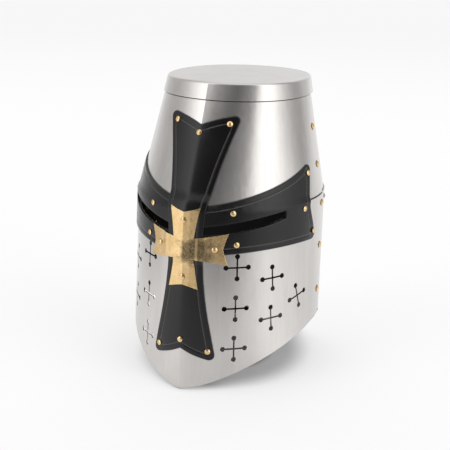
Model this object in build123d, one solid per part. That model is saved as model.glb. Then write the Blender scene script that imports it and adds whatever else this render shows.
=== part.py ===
from build123d import *
import math
import os

# A great helm: riveted steel plates with a creased front, sights and crosslet breaths,
# a leather cross with flared arms, a brass cross over its middle, and inside it a
# leather liner and a chin strap that swings on two rivets.
# Millimetres. The front faces -Y, +Z is up and the crown plate is level.
# Left and right are as seen by someone who faces the helm, so right is +X.

# Sheets and the gaps between layers
steel = 1.2
leather = 2.0
brass_sheet = 1.2
lap_gap = 0.15
ring_gap = 0.3
leather_gap = 0.1
overrun = 3.0

# Plan section at the foot, where the front tip touches the ground
foot_half_width = 108.8
foot_front = 131.9
foot_back = 115.0
foot_widest = -12.6
foot_ridge_angle = math.radians(4.8)
foot_cheek_share = 0.425
foot_side_share = 0.45

# Plan section at the ring seam, where the lower plates lap over the upper ones
ring_height = 201.2
ring_half_width = 105.4
ring_front = 122.2
ring_back = 120.2
ring_widest = -1.3
ring_ridge_angle = math.radians(8.5)
ring_cheek_share = 0.442
ring_side_share = 0.556
ring_lap = 16.0

# Plan section under the cap, and the cap's own flange
crown_height = 310.5
crown_half_width = 81.2
crown_front = 79.8
crown_back = 106.4
crown_widest = 13.0
crown_ridge_angle = math.radians(4.5)
crown_cheek_share = 0.659
crown_side_share = 0.595
cap_height = 18.0
cap_edge_radius = 2.4
cap_edge_steps = 4
cap_gap = 0.15
back_fullness_share = 0.59

# Side seam: the front plates lap over the back plates along a line of rivets
seam_share = 1.07
seam_margin = 7.0

# Lower edge: level at the sides, dropping to the front tip and to the nape
side_rise = 59.75
side_level_front = -0.9
side_level_back = 15.0
tip_run = 7.6
tip_climb = 10.8
front_sweep = 39.4
nape_flat = 108.0
nape_sweep = 45.0
nape_run = 23.0

# Sights: one slot each side, cut through leather and steel, its lower edge bowed down
sight_inner_share = 0.132
sight_outer_share = 0.671
sight_inner_drop = 27.5
sight_outer_drop = 12.4
sight_inner_height = 8.8
sight_outer_height = 8.1
sight_bow = 2.5
sight_depth = 26.0

# Crosslet breaths: three columns, each at a share of the way round to the side
breath_column_shares = [0.362, 0.595, 0.797]
breath_column_drops = [62.6, 77.5, 104.2]
breath_column_counts = [3, 2, 1]
breath_column_tilts = [0.0, 3.0, 15.0]
breath_pitch = 45.6
breath_span = 24.6
breath_bar = 1.9
breath_lobe = 5.6
breath_depth = 7.0

# Leather upright of the cross, seen from the front
upright_top_drop = 14.0
upright_top_half = 41.5
upright_notch = 11.0
upright_waist_half = 20.0
upright_waist_drop = 42.0
upright_toe_half = 37.2
upright_toe_rise = 34.0
upright_toe_notch = 14.0
upright_corner_radius = 5.0
upright_edge_bow = 1.6
step_rise = 8.0
step_run = 8.0

# Leather arms of the cross, seen from the side
arm_inner_gap = 4.0
arm_root_rises = {"right": -2.0, "left": 3.0}
arm_middle_share = 0.465
arm_middle_rises = {"right": 14.8, "left": 21.0}
arm_tip_share = 0.925
arm_tip_rise = 40.5
arm_notch_share = 0.872
arm_notch_drop = 4.5
arm_heel_share = 0.957
arm_heel_drop = 44.2
arm_hem_share = 0.68
arm_hem_drop = 43.6
arm_root_drop = 51.0
arm_tip_radius = 4.0
arm_heel_radius = 7.0
arm_notch_radius = 14.0
arm_step_run = 4.0

# Brass cross: four flared limbs, bent along the ridge and where it steps off the upright
brass_centre_drop = 41.7
brass_reach = 44.4
brass_root_half = 11.8
brass_tip_half = 17.0
brass_end_notch = 4.7
brass_notch_bow = 0.3
brass_edge_bow = 0.4
brass_bend_run = 5.0
brass_columns = 4
brass_rivet_reach = 31.0

# Rivets and burrs
head_radius = 3.05
head_height = 1.6
head_rim = 0.55
nub_radius = 1.2
nub_height = 0.3
nub_share = 0.75
shank_radius = 1.5
hole_clearance = 0.1
seat_gap = 0.05
crease_relief = 0.65
curve_relief = 0.15
peen_radius = 2.4
peen_tip_radius = 1.6
peen_height = 1.0
burr_radius = 3.6
burr_thickness = 0.8
steel_head_radius = 2.7
steel_head_height = 1.3
side_head_radius = 3.9
side_head_height = 1.9
flush_depth = 0.9
upright_top_rivet_drop = 23.0
upright_top_rivet_half = 30.0
upright_ridge_rivet_drop = 32.9
upright_toe_rivet_rise = 45.7
upright_toe_rivet_half = 28.5
upright_ridge_rivet_rise = 57.8
arm_skirt_rivet_shares = [0.321, 0.819]
arm_skirt_rivet_drops = [3.0, 6.4]
arm_low_rivet_share = 0.35
arm_low_rivet_drop = 37.1
arm_tip_rivet_share = 0.885
arm_tip_rivet_rise = 29.5
side_rivet_upper_drop = 35.3
side_rivet_band_drop = 76.4
side_rivet_ring_drop = 9.7
side_rivet_lower_drops = [58.7, 110.7]
ring_rivet_shares = [1.2, 1.45, 1.72]
ring_rivet_drop = 8.2

# Liner: a band, the lobes sewn to it and the patch that closes them
band_rise = 13.0
band_width = 30.0
band_gap = 0.3
liner_leather = 1.8
sewn_gap = 0.15
band_end_gap = 2.0
lobe_gap = 6.0
lobe_overlap = 22.0
lobe_dome_rise = 40.0
lobe_dome_reach = 74.0
lobe_arc_steps = 6
lobe_last_angle = math.radians(78)
patch_overlap = 12.0
patch_gap = 0.3
patch_rivet_inset = 5.0
patch_rivet_shank = 0.8
patch_rivet_head = 1.7
patch_rivet_height = 0.8
liner_rivet_rise = 28.0
liner_front_half = 14.0
liner_back_share = 1.62

# Chin strap: two halves buckled into a U that hangs from two side rivets
pivot_share = 0.913
pivot_drop = 34.0
pivot_clearance = 0.06
strap_sag = 109.0
strap_width = 18.0
strap_leather = 2.2
strap_stand_off = 2.5
strap_flat_half = 44.0
strap_straight = 5.0
strap_shoulder_drop = 25.0
strap_turn = 26.0
side_play = 0.15
spacer_radius = 4.0
spacer_thickness = 1.5
buckle_wire = 1.3
buckle_bar_place = -4.0
buckle_window = 18.0
buckle_half_width = 11.8
buckle_corner = 3.2
buckle_gap = 0.35
eye_clearance = 0.2
eye_leather = 1.3
eye_tail = 14.0
eye_slot = 3.2
tongue_end = 34.0
tongue_point = 8.0
tongue_hump = 6.8
tongue_lay = 4.85
tongue_drop_run = 12.0
tongue_crest = 1.5
prong_width = 2.2
prong_metal = 1.8
prong_clearance = 0.06
prong_tip_metal = 1.1
prong_overhang = 2.4
prong_hole_place = 4.3
prong_hole_length = 10.4
prong_hole_width = 3.2
prong_hole_pitch = 13.0
prong_hole_count = 2
keeper_width = 8.0
keeper_leather = 1.6
keeper_gap = 0.3
keeper_offset = 22.0

step = steel + ring_gap
back_inset = steel + lap_gap
top_height = crown_height + cap_height
upper_inner = step + steel
stacked_inner = step + back_inset + steel
liner_inner = stacked_inner + band_gap + 2 * liner_leather + sewn_gap
on_plate = -leather_gap - leather
over_arm = on_plate - leather_gap - leather
on_upper = step - leather_gap - leather
half_span = max(foot_half_width, ring_half_width, crown_half_width) + overrun
far_front = max(foot_front, ring_front, crown_front) + overrun
far_back = max(foot_back, ring_back, crown_back) + overrun


# Plan sections and the faces between them

def controls(half_width, front, back, widest, angle, cheek_share, side_share, inset):
    """Bezier control points of the right half of a plan section, front to back."""
    w, f, b = half_width - inset, front - inset, back - inset
    cheek = cheek_share * w
    return [
        (0, -f),
        (cheek * math.cos(angle), cheek * math.sin(angle) - f),
        (w, widest - side_share * (f + widest)),
        (w, widest),
        (w, widest + back_fullness_share * (b - widest)),
        (back_fullness_share * w, b),
        (0, b),
    ]


def foot_controls(inset):
    return controls(foot_half_width, foot_front, foot_back, foot_widest,
                    foot_ridge_angle, foot_cheek_share, foot_side_share, inset)


def ring_controls(inset):
    return controls(ring_half_width, ring_front, ring_back, ring_widest,
                    ring_ridge_angle, ring_cheek_share, ring_side_share, inset)


def crown_controls(inset):
    return controls(crown_half_width, crown_front, crown_back, crown_widest,
                    crown_ridge_angle, crown_cheek_share, crown_side_share, inset)


def between(low, high, k):
    return [(a + k * (c - a), b + k * (d - b)) for (a, b), (c, d) in zip(low, high)]


def plan(z, inset):
    """Control points at height z, inset from the face that the lower plates show."""
    if z <= ring_height:
        return between(foot_controls(inset), ring_controls(inset), z / ring_height)
    k = (z - ring_height) / (crown_height - ring_height)
    return between(ring_controls(inset), crown_controls(inset), k)


def along(points, share):
    """Point on the half section: share 0 is the ridge, 1 the widest point, 2 the nape."""
    p = points[:4] if share <= 1 else points[3:]
    t = share if share <= 1 else share - 1
    weights = [(1 - t) ** 3, 3 * (1 - t) ** 2 * t, 3 * (1 - t) * t * t, t ** 3]
    return [sum(w * q[i] for w, q in zip(weights, p)) for i in (0, 1)]


def heading(points, share):
    """Direction of the half section at a share."""
    p = points[:4] if share <= 1 else points[3:]
    t = share if share <= 1 else share - 1
    weights = [(1 - t) ** 2, 2 * (1 - t) * t, t * t]
    return [sum(w * (b[i] - a[i]) for w, a, b in zip(weights, p, p[1:])) for i in (0, 1)]


def share_where(axis, value, z, inset, last=1):
    """Share at which the half section reaches a given x (axis 0) or y (axis 1)."""
    low, high = 0, last
    for _ in range(40):
        middle = (low + high) / 2
        if along(plan(z, inset), middle)[axis] < value:
            low = middle
        else:
            high = middle
    return (low + high) / 2


def side_spot(share, z):
    """Place of a share as seen from the side."""
    return along(plan(z, 0), share)[1], z


def section(z, inset):
    """Closed plan section at height z."""
    right = [(x, y, z) for x, y in plan(z, inset)]
    left = [(-x, y, z) for x, y, z in right]
    return Wire([Bezier(*right[:4]), Bezier(*right[3:]),
                 Bezier(*left[:2:-1]), Bezier(*left[3::-1])])


def skin(levels):
    """Solid through plan sections given as (height, inset)."""
    return Solid.make_loft([section(z, inset) for z, inset in levels], ruled=True)


def sheet(levels, thickness):
    """Sheet whose outer face follows the levels."""
    return skin(levels) - skin([(z, inset + thickness) for z, inset in levels])


def prism_side(outline):
    """Solid of a (y, z) outline along X, through both sides."""
    return extrude(Plane.YZ * outline, amount=half_span, both=True)


def prism_front(outline):
    """Solid of an (x, z) outline, from the middle to in front of the ridge."""
    return extrude(Plane.XZ * outline, amount=far_front + head_height)


def mirrored(shape):
    return mirror(shape, about=Plane.YZ)


# Rivets: a domed or flush head, a shank, and an end peened over a burr or the plate

def rivet(grip, radius, height, burr, flush):
    """A rivet along Z whose head sits at zero."""
    low = -grip - (burr_thickness if burr else 0)
    top = height if flush else height + nub_height
    shank = [Line((0, top), (0, low - peen_height)),
             Line((0, low - peen_height), (peen_tip_radius, low - peen_height)),
             Line((peen_tip_radius, low - peen_height), (peen_radius, low)),
             Line((peen_radius, low), (shank_radius, low))]
    if flush:
        head = [Line((shank_radius, low), (shank_radius, -flush_depth)),
                Line((shank_radius, -flush_depth), (radius, height)),
                Line((radius, height), (0, height))]
    else:
        rise = height - head_rim
        ball = (radius ** 2 + rise ** 2) / (2 * rise)
        reach = math.asin(radius / ball)
        dome = [(ball * math.sin(turn), height - ball + ball * math.cos(turn))
                for turn in (reach, reach / 2, math.asin(nub_radius / ball))]
        head = [Line((shank_radius, low), (shank_radius, 0)),
                Line((shank_radius, 0), (radius, 0)),
                Line((radius, 0), dome[0]),
                ThreePointArc(*dome),
                Line(dome[2], (nub_radius * nub_share, height + nub_height)),
                Line((nub_radius * nub_share, height + nub_height), (0, height + nub_height))]
    return revolve(Plane.XZ * make_face(shank + head), Axis.Z)


def ring_washer(radius, bore, thickness):
    return Cylinder(radius, thickness) - Cylinder(bore, thickness + overrun)


def seat(share, z, inset):
    """Plane on the right side of the shell, facing out, square to the plates."""
    x, y = along(plan(z, inset), share)
    tangent = Vector(*(heading(plan(z, inset), share) if share else (1, 0)), 0).normalized()
    above = along(plan(z + overrun, inset), share)
    upward = Vector(above[0] - x, above[1] - y, overrun).normalized()
    return Plane(origin=(x, y, z), x_dir=tangent, z_dir=tangent.cross(upward))


pieces = {}
rivets = {}
drills = {}


def keep(store, names, shape):
    """Files a shape under each name."""
    for name in names:
        store.setdefault(name, []).append(shape)


def both_names(name):
    """A name that ends in a side stands for that side and its twin."""
    return name, name.replace("_right", "_left")


def fasten(share, z, outer, inner, kind, through, burrs=None, pair=True,
           radius=head_radius, height=head_height, flush=False):
    """Sets a rivet and its left-hand twin, its burr, and the holes in what it joins."""
    place = seat(share, z, outer)
    relief = curve_relief if share else crease_relief
    grip = inner - outer + relief + seat_gap
    lift = Pos(0, 0, 0 if flush else seat_gap)
    body = place * (lift * rivet(grip, radius, 0 if flush else height, bool(burrs), flush))
    bore = shank_radius + hole_clearance
    drill = place * Cylinder(bore, 2 * (grip + burr_thickness + peen_height))
    if flush:
        drill += place * Cone(bore, radius + hole_clearance + overrun * (radius - shank_radius)
                              / flush_depth, flush_depth + overrun,
                              align=(Align.CENTER, Align.CENTER, Align.MIN)
                              ).moved(Location((0, 0, -flush_depth - hole_clearance)))
    washer = None
    if burrs:
        middle = seat_gap - grip - burr_thickness / 2
        washer = place * (Pos(0, 0, middle) * ring_washer(burr_radius, bore, burr_thickness))
    for twin in (False, True) if pair else (False,):
        keep(rivets, [both_names(kind)[twin]], mirrored(body) if twin else body)
        if burrs:
            keep(rivets, [both_names(burrs)[twin]], mirrored(washer) if twin else washer)
        keep(drills, [both_names(name)[twin] for name in through],
             mirrored(drill) if twin else drill)


# Side seam and lower edge, seen from the side

def seam_line(offset):
    """Side seam from low to high, moved back by an offset."""
    heights = [-overrun, ring_height, crown_height, top_height + overrun]
    return [(along(plan(z, 0), seam_share)[1] + offset, z) for z in heights]


def side_part(offset, reach):
    """All in front of the seam if reach is negative, or behind it."""
    line = seam_line(offset)
    return prism_side(make_face(Polyline(*line, (reach, line[-1][1]), (reach, line[0][1]),
                                         close=True)))


def above_lower_edge():
    """All above the lower edge and up to the ring seam."""
    front = Bezier((-foot_front, 0), (-foot_front + tip_run, tip_climb),
                   (side_level_front - front_sweep, side_rise), (side_level_front, side_rise))
    level = Line((side_level_front, side_rise), (side_level_back, side_rise))
    nape = Bezier((side_level_back, side_rise), (side_level_back + nape_sweep, side_rise),
                  (nape_flat - nape_run, 0), (nape_flat, 0))
    rest = Polyline((nape_flat, 0), (far_back, 0), (far_back, ring_height),
                    (-far_front, ring_height), (-far_front, 0), (-foot_front, 0))
    return prism_side(make_face([front, level, nape, *rest.edges()]))


front_part = side_part(seam_margin, -far_front)
back_part = side_part(-seam_margin, far_back)
above_edge = above_lower_edge()


# Sights and breaths

def sight_cutter():
    """Slot from beside the upright to the temple."""
    z = ring_height - sight_inner_drop
    x1, y1 = along(plan(z, 0), sight_inner_share)
    x2, y2 = along(plan(z, 0), sight_outer_share)
    chord = Vector(x2 - x1, y2 - y1, 0)
    outward = Vector(y2 - y1, x1 - x2, 0)
    run = chord.length
    climb = sight_inner_drop - sight_outer_drop
    outline = make_face([
        ThreePointArc((0, 0), (run / 2, climb / 2 - sight_bow), (run, climb)),
        Line((run, climb), (run, climb + sight_outer_height)),
        Line((run, climb + sight_outer_height), (0, sight_inner_height)),
        Line((0, sight_inner_height), (0, 0)),
    ])
    place = Plane(origin=(x1, y1, z), x_dir=chord, z_dir=outward)
    return place * extrude(outline, amount=sight_depth, both=True)


def crosslet(share, z, tilt):
    """A cross of narrow slots whose four ends are round holes."""
    flower = Rectangle(breath_span, breath_bar) + Rectangle(breath_bar, breath_span)
    for turn in range(4):
        flower += Rot(0, 0, 90 * turn) * Pos(breath_span / 2, 0) * Circle(breath_lobe / 2)
    cutter = extrude(Rot(0, 0, tilt) * flower, amount=breath_depth, both=True)
    return seat(share, z, 0) * cutter


sight = sight_cutter()
breaths = [crosslet(share, ring_height - drop - breath_pitch * row, tilt)
           for share, drop, count, tilt in zip(breath_column_shares, breath_column_drops,
                                               breath_column_counts, breath_column_tilts)
           for row in range(count)]
face_cuts = breaths + [mirrored(cutter) for cutter in breaths] + [sight, mirrored(sight)]


# Steel plates

def lower_plates():
    front = sheet([(0, 0), (ring_height, 0)], steel) & front_part & above_edge
    pieces["lower_front_plate"] = front - face_cuts
    back = sheet([(0, back_inset), (ring_height, back_inset)], steel)
    pieces["lower_back_plate"] = back & back_part & above_edge


def upper_plates():
    """Both run down behind the lower plates and up inside the cap."""
    levels = [(ring_height - ring_lap, step), (ring_height, step), (crown_height, step),
              (top_height - steel - cap_gap, step)]
    front = (sheet(levels, steel) & front_part) - [sight, mirrored(sight)]
    # Its skirt stops short of the lower back plate's front margin
    skirt_end = seam_line(-seam_margin - steel)[1][0]
    skirt = Polyline((skirt_end, ring_height + ring_gap), (far_back, ring_height + ring_gap),
                     (far_back, 0), (skirt_end, 0), close=True)
    pieces["upper_front_plate"] = front - prism_side(make_face(skirt))
    inner_levels = [(z, inset + back_inset) for z, inset in levels]
    pieces["upper_back_plate"] = sheet(inner_levels, steel) & back_part


def crown():
    """Flat plate with a turned-down flange and a rounded edge."""
    face = step - cap_gap - steel
    levels = [(crown_height, face)]
    for i in range(cap_edge_steps + 1):
        turn = math.pi / 2 * i / cap_edge_steps
        levels.append((top_height - cap_edge_radius * (1 - math.sin(turn)),
                       face + cap_edge_radius * (1 - math.cos(turn))))
    hollow = [(crown_height, face + steel), (top_height - steel, face + steel)]
    pieces["crown_plate"] = skin(levels) - skin(hollow)


lower_plates()
upper_plates()
crown()


# Leather upright, lying over the arms and stepping in above the ring seam

arm_root_low = ring_height - arm_root_drop
upright_levels = [
    (0, on_plate), (arm_root_low - step_run, on_plate), (arm_root_low, over_arm),
    (ring_height, over_arm), (ring_height + step_rise, over_arm),
    (ring_height + step_rise + step_run, on_upper),
    (crown_height, on_upper)]


def upright_outline():
    """Right half of the upright, flared at both ends, which are notched at the ridge."""
    top = crown_height - upright_top_drop
    waist_z = ring_height - upright_waist_drop
    tip = (upright_top_half, top)
    toe = (upright_toe_half, upright_toe_rise)
    waist = (upright_waist_half, waist_z)
    crest = (0, top - upright_notch)
    arch = (0, upright_toe_rise + upright_toe_notch)
    rise, fall = top - waist_z, waist_z - upright_toe_rise
    face = make_face([
        ThreePointArc(crest, (tip[0] / 2, top - upright_notch / 2 + upright_edge_bow), tip),
        Bezier(tip, (tip[0] * 3 / 4, top - rise * 2 / 7), (waist[0], waist_z + rise * 3 / 7),
               waist),
        Bezier(waist, (waist[0], waist_z - fall * 3 / 7),
               (toe[0] * 5 / 6, upright_toe_rise + fall * 2 / 7), toe),
        ThreePointArc(toe, (toe[0] / 2, upright_toe_rise + upright_toe_notch / 2
                            - upright_edge_bow), arch),
        Line(arch, crest)])
    return fillet(face.vertices().sort_by(Axis.X)[-2:], upright_corner_radius)


def upright():
    half = upright_outline()
    outline = half + mirrored(half)
    pieces["leather_upright"] = sheet(upright_levels, leather) & prism_front(outline)


# Leather arms, lying on the lower plate and stepping in above the ring seam

def arm_outline(side):
    tip = side_spot(arm_tip_share, ring_height + arm_tip_rise)
    notch = side_spot(arm_notch_share, ring_height - arm_notch_drop)
    heel = side_spot(arm_heel_share, ring_height - arm_heel_drop)
    hem = side_spot(arm_hem_share, ring_height - arm_hem_drop)
    middle = side_spot(arm_middle_share, ring_height + arm_middle_rises[side])
    front = overrun - far_front
    high = (front, ring_height + arm_root_rises[side])
    low = (front, arm_root_low)
    face = make_face([Spline(high, middle, tip), Line(tip, notch), Line(notch, heel),
                      ThreePointArc(heel, hem, low), Line(low, high)])
    for corner, radius in ((tip, arm_tip_radius), (heel, arm_heel_radius),
                           (notch, arm_notch_radius)):
        nearest = face.vertices().sort_by_distance((*corner, 0))[0]
        face = fillet(nearest, radius)
    return face


def arms():
    levels = [(arm_root_low - step_run, on_plate), (ring_height + lap_gap, on_plate),
              (ring_height + lap_gap + arm_step_run, on_upper),
              (ring_height + arm_tip_rise + step_run, on_upper)]
    body = sheet(levels, leather)
    for side, sign, slot in (("right", 1, sight), ("left", -1, mirrored(sight))):
        outline = Plane.YZ * arm_outline(side)
        half = Pos(sign * arm_inner_gap, 0, 0) * extrude(outline, half_span, (sign, 0, 0))
        pieces["leather_arm_" + side] = (body & half) - slot


# Brass cross

def brass_gap(x, z):
    """How far the brass lies outside the lower plate."""
    over_leather = leather_gap - on_plate
    if abs(x) > upright_waist_half + leather or z < arm_root_low:
        return over_leather
    return leather_gap - over_arm


def brass_body():
    """The bent sheet, from sections at which it leaves the leather's steps."""
    near = upright_waist_half + leather / 2
    far = near + brass_bend_run
    end = brass_reach + overrun
    columns = [0, near / 3, near * 2 / 3, near]
    columns += [far + (end - far) * i / brass_columns for i in range(brass_columns + 1)]
    centre = ring_height - brass_centre_drop
    loops = []
    for z in (centre - brass_reach - overrun, arm_root_low - step_run, arm_root_low,
              ring_height, centre + brass_reach + overrun):
        rows = []
        for extra in (brass_sheet, 0):
            half = []
            for x in columns:
                share = share_where(0, x, z, 0) if x else 0
                half.append((*along(plan(z, -brass_gap(x, z) - extra), share), z))
            rows.append([(-a, b, c) for a, b, c in half[:0:-1]] + half)
        loops.append(Wire(Polyline(*rows[0], *rows[1][::-1], close=True).edges()))
    return Solid.make_loft(loops, ruled=True)


def brass_limb():
    """One limb of the cross, pointing up from the centre."""
    root = (brass_root_half, brass_root_half)
    tip = (brass_tip_half, brass_reach)
    inner_end = brass_reach - brass_end_notch
    edge = ThreePointArc(root, ((root[0] + tip[0]) / 2 - brass_edge_bow,
                                (root[1] + tip[1]) / 2), tip)
    half = make_face([Line((0, 0), root), edge,
                      ThreePointArc(tip, (brass_tip_half / 2, brass_reach - brass_end_notch / 2
                                          - brass_notch_bow), (0, inner_end)),
                      Line((0, inner_end), (0, 0))])
    return half + mirrored(half)


def brass():
    outline = brass_limb()
    for turn in range(1, 4):
        outline += Rot(0, 0, 90 * turn) * brass_limb()
    outline = Pos(0, ring_height - brass_centre_drop) * outline
    pieces["brass_cross"] = brass_body() & prism_front(outline)


upright()
arms()
brass()


# Rivets of the leather, the brass and the seams

def set_upright_rivets():
    high = crown_height - upright_top_rivet_drop
    ridge_high = crown_height - upright_ridge_rivet_drop
    for x, z, pair in ((upright_top_rivet_half, high, True), (0, ridge_high, False)):
        fasten(share_where(0, x, z, 0) if x else 0, z, on_upper, upper_inner, "upright_rivets",
               ["leather_upright", "upper_front_plate"], "upright_burrs", pair)
    for x, z, pair in ((upright_toe_rivet_half, upright_toe_rivet_rise, True),
                       (0, upright_ridge_rivet_rise, False)):
        fasten(share_where(0, x, z, 0) if x else 0, z, on_plate, steel, "upright_rivets",
               ["leather_upright", "lower_front_plate"], "upright_burrs", pair)


def set_arm_rivets():
    for share, drop in zip(arm_skirt_rivet_shares, arm_skirt_rivet_drops):
        fasten(share, ring_height - drop, on_plate, upper_inner, "arm_rivets_right",
               ["leather_arm_right", "lower_front_plate", "upper_front_plate"],
               "arm_burrs_right")
    fasten(arm_low_rivet_share, ring_height - arm_low_rivet_drop, on_plate, steel,
           "arm_rivets_right", ["leather_arm_right", "lower_front_plate"], "arm_burrs_right")
    fasten(arm_tip_rivet_share, ring_height + arm_tip_rivet_rise, on_upper, liner_inner,
           "arm_rivets_right", ["leather_arm_right", "upper_front_plate", "liner_band",
                                "liner_lobe_right_2"], "arm_burrs_right")


def set_cross_rivets():
    z = ring_height - brass_centre_drop
    share = share_where(0, brass_rivet_reach, z, 0)
    beside = on_plate - leather_gap - brass_sheet
    fasten(share, z, beside, steel, "cross_rivets",
           ["brass_cross", "leather_arm_right", "lower_front_plate"], "cross_burrs")
    above = over_arm - leather_gap - brass_sheet
    fasten(0, z + brass_rivet_reach, above, upper_inner, "cross_rivets",
           ["brass_cross", "leather_upright", "lower_front_plate", "upper_front_plate"],
           "cross_burrs", False)
    fasten(0, z - brass_rivet_reach, beside, steel, "cross_rivets",
           ["brass_cross", "leather_upright", "lower_front_plate"], "cross_burrs", False)


def set_seam_rivets():
    upper = ["upper_front_plate", "upper_back_plate"]
    lower = ["lower_front_plate", "lower_back_plate"]
    for z, outer, inner, through in (
            (crown_height - side_rivet_upper_drop, step, stacked_inner, upper),
            (crown_height - side_rivet_band_drop, step, liner_inner,
             upper + ["liner_band", "liner_lobe_right_3"]),
            (ring_height - side_rivet_ring_drop, 0, stacked_inner, lower + ["upper_back_plate"]),
            *((ring_height - drop, 0, back_inset + steel, lower)
              for drop in side_rivet_lower_drops)):
        fasten(seam_share, z, outer, inner, "side_rivets_right", through,
               radius=side_head_radius, height=side_head_height)
    for share in ring_rivet_shares:
        fasten(share, ring_height - ring_rivet_drop, back_inset, stacked_inner, "ring_rivets",
               ["lower_back_plate", "upper_back_plate"], radius=steel_head_radius,
               height=steel_head_height)


def set_liner_rivets():
    z = ring_height + liner_rivet_rise
    fasten(share_where(0, liner_front_half, z, 0), z, step, liner_inner, "liner_rivets",
           ["upper_front_plate", "liner_band", "liner_lobe_right_1"],
           radius=steel_head_radius, flush=True)
    fasten(liner_back_share, z, step + back_inset, liner_inner, "liner_rivets",
           ["upper_back_plate", "liner_band", "liner_lobe_right_4"],
           radius=steel_head_radius, height=steel_head_height)


set_upright_rivets()
set_arm_rivets()
set_cross_rivets()
set_seam_rivets()
set_liner_rivets()


# Liner

band_low = ring_height + band_rise
band_high = band_low + band_width
band_inset = stacked_inner + band_gap
lobe_inset = band_inset + liner_leather + sewn_gap


def liner_band():
    """Its ends meet at the nape."""
    band = sheet([(band_low, band_inset), (band_high, band_inset)], liner_leather)
    slit = Pos(0, far_back, band_low) * Box(band_end_gap, far_back, 2 * band_width)
    pieces["liner_band"] = band - slit


def dome(rise, reach, inset):
    """Levels of the lobes' dome above the band."""
    levels = [(band_high - lobe_overlap, inset)]
    for i in range(lobe_arc_steps + 1):
        angle = lobe_last_angle * i / lobe_arc_steps
        levels.append((band_high + rise * math.sin(angle),
                       inset + reach * (1 - math.cos(angle))))
    return levels


def liner_lobes():
    """The dome cut into lobes by gaps at equal shares of the way round."""
    outer = dome(lobe_dome_rise, lobe_dome_reach, lobe_inset)
    inner = dome(lobe_dome_rise - liner_leather, lobe_dome_reach - liner_leather,
                 lobe_inset + liner_leather)
    # The hollow runs on upwards so that the dome is left open at the top
    open_top = [(outer[-1][0] + overrun, inner[-1][1])]
    body = skin(outer) - skin(inner + open_top)
    centre = ring_widest / 2 + crown_widest / 2
    for half in range(5):
        x, y = along(plan(band_high, lobe_inset), half / 2)
        turn = math.degrees(math.atan2(y - centre, x))
        for angle in {turn, 180 - turn}:
            bar = Box(far_front, lobe_gap, 2 * (lobe_overlap + lobe_dome_rise),
                      align=(Align.MIN, Align.CENTER, Align.CENTER))
            body -= Pos(0, centre, band_high) * Rot(0, 0, angle) * bar
    for lobe in body.solids():
        spot = lobe.center()
        index = 1 + int((math.degrees(math.atan2(spot.Y - centre, abs(spot.X))) + 90) // 45)
        side = "right" if spot.X > 0 else "left"
        pieces[f"liner_lobe_{side}_{index}"] = lobe


def liner_patch():
    """Flat oval patch over the lobe tips, with one small rivet through each lobe."""
    edge = dome(lobe_dome_rise, lobe_dome_reach, lobe_inset)[-1][1] - patch_overlap
    low = band_high + lobe_dome_rise * math.sin(lobe_last_angle) + patch_gap
    pieces["liner_patch"] = skin([(low, edge), (low + liner_leather, edge)])
    top = low + liner_leather + seat_gap
    bottom = low - patch_gap - 2 * liner_leather - patch_rivet_height
    for index in range(4):
        x, y = along(plan(low, edge + patch_rivet_inset), index / 2 + 1 / 4)
        shank = Pos(x, y, (top + bottom) / 2) * Cylinder(patch_rivet_shank, top - bottom)
        heads = [Pos(x, y, z) * Cone(a, b, patch_rivet_height)
                 for z, a, b in ((top + patch_rivet_height / 2, patch_rivet_head,
                                  patch_rivet_shank),
                                 (bottom - patch_rivet_height / 2, patch_rivet_shank,
                                  patch_rivet_head))]
        body = shank + heads
        drill = Pos(x, y, low) * Cylinder(patch_rivet_shank + hole_clearance,
                                          2 * (lobe_overlap))
        keep(rivets, ["patch_rivets"], body)
        keep(rivets, ["patch_rivets"], mirrored(body))
        keep(drills, ["liner_patch", f"liner_lobe_right_{index + 1}"], drill)
        keep(drills, ["liner_patch", f"liner_lobe_left_{index + 1}"], mirrored(drill))


liner_band()
liner_lobes()
liner_patch()


# Chin strap

pivot_z = ring_height - pivot_drop
pivot_y = side_spot(pivot_share, pivot_z)[0]
wall_x = along(plan(pivot_z, steel), pivot_share)[0]
strap_x = wall_x - strap_stand_off - strap_leather / 2
strap_z = pivot_z - strap_sag


def strap_pivots():
    """Rivets level and square to the swing, so their heads stand off the slanting leather."""
    behind = share_where(1, pivot_y + head_radius, pivot_z, on_plate, 2)
    head_x = along(plan(pivot_z, on_plate), behind)[0] + seat_gap
    inner_face = strap_x - strap_leather / 2 - side_play
    out = Plane(origin=(head_x, pivot_y, pivot_z), z_dir=(1, 0, 0))
    body = out * rivet(head_x - inner_face, head_radius, head_height, True, False)
    bore = shank_radius + hole_clearance
    drill = out * Cylinder(bore, 2 * (head_x - inner_face))
    spacer_x = strap_x + strap_leather / 2 + side_play / 2 + spacer_thickness / 2
    burr_x = inner_face - burr_thickness / 2
    for x, radius, thickness, kind in ((spacer_x, spacer_radius, spacer_thickness, "strap_spacers"),
                                       (burr_x + seat_gap, burr_radius, burr_thickness,
                                        "strap_burrs")):
        place = Plane(origin=(x, pivot_y, pivot_z), z_dir=(1, 0, 0))
        disc = place * ring_washer(radius, bore, thickness)
        keep(rivets, [kind], disc)
        keep(rivets, [kind], mirrored(disc))
    for twin in (False, True):
        keep(rivets, ["strap_pivot_rivets"], mirrored(body) if twin else body)
        keep(drills, [both_names(name)[twin] for name in
                      ("leather_arm_right", "lower_front_plate")],
             mirrored(drill) if twin else drill)


def strap_side():
    """Centre line of one side of the U, from the top of the tab to the flat under the chin."""
    straight_end = pivot_z - strap_straight
    return [Line((strap_x, pivot_z + strap_width), (strap_x, straight_end)),
            Bezier((strap_x, straight_end), (strap_x, straight_end - strap_shoulder_drop),
                   (strap_flat_half + strap_turn, strap_z), (strap_flat_half, strap_z))]


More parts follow.
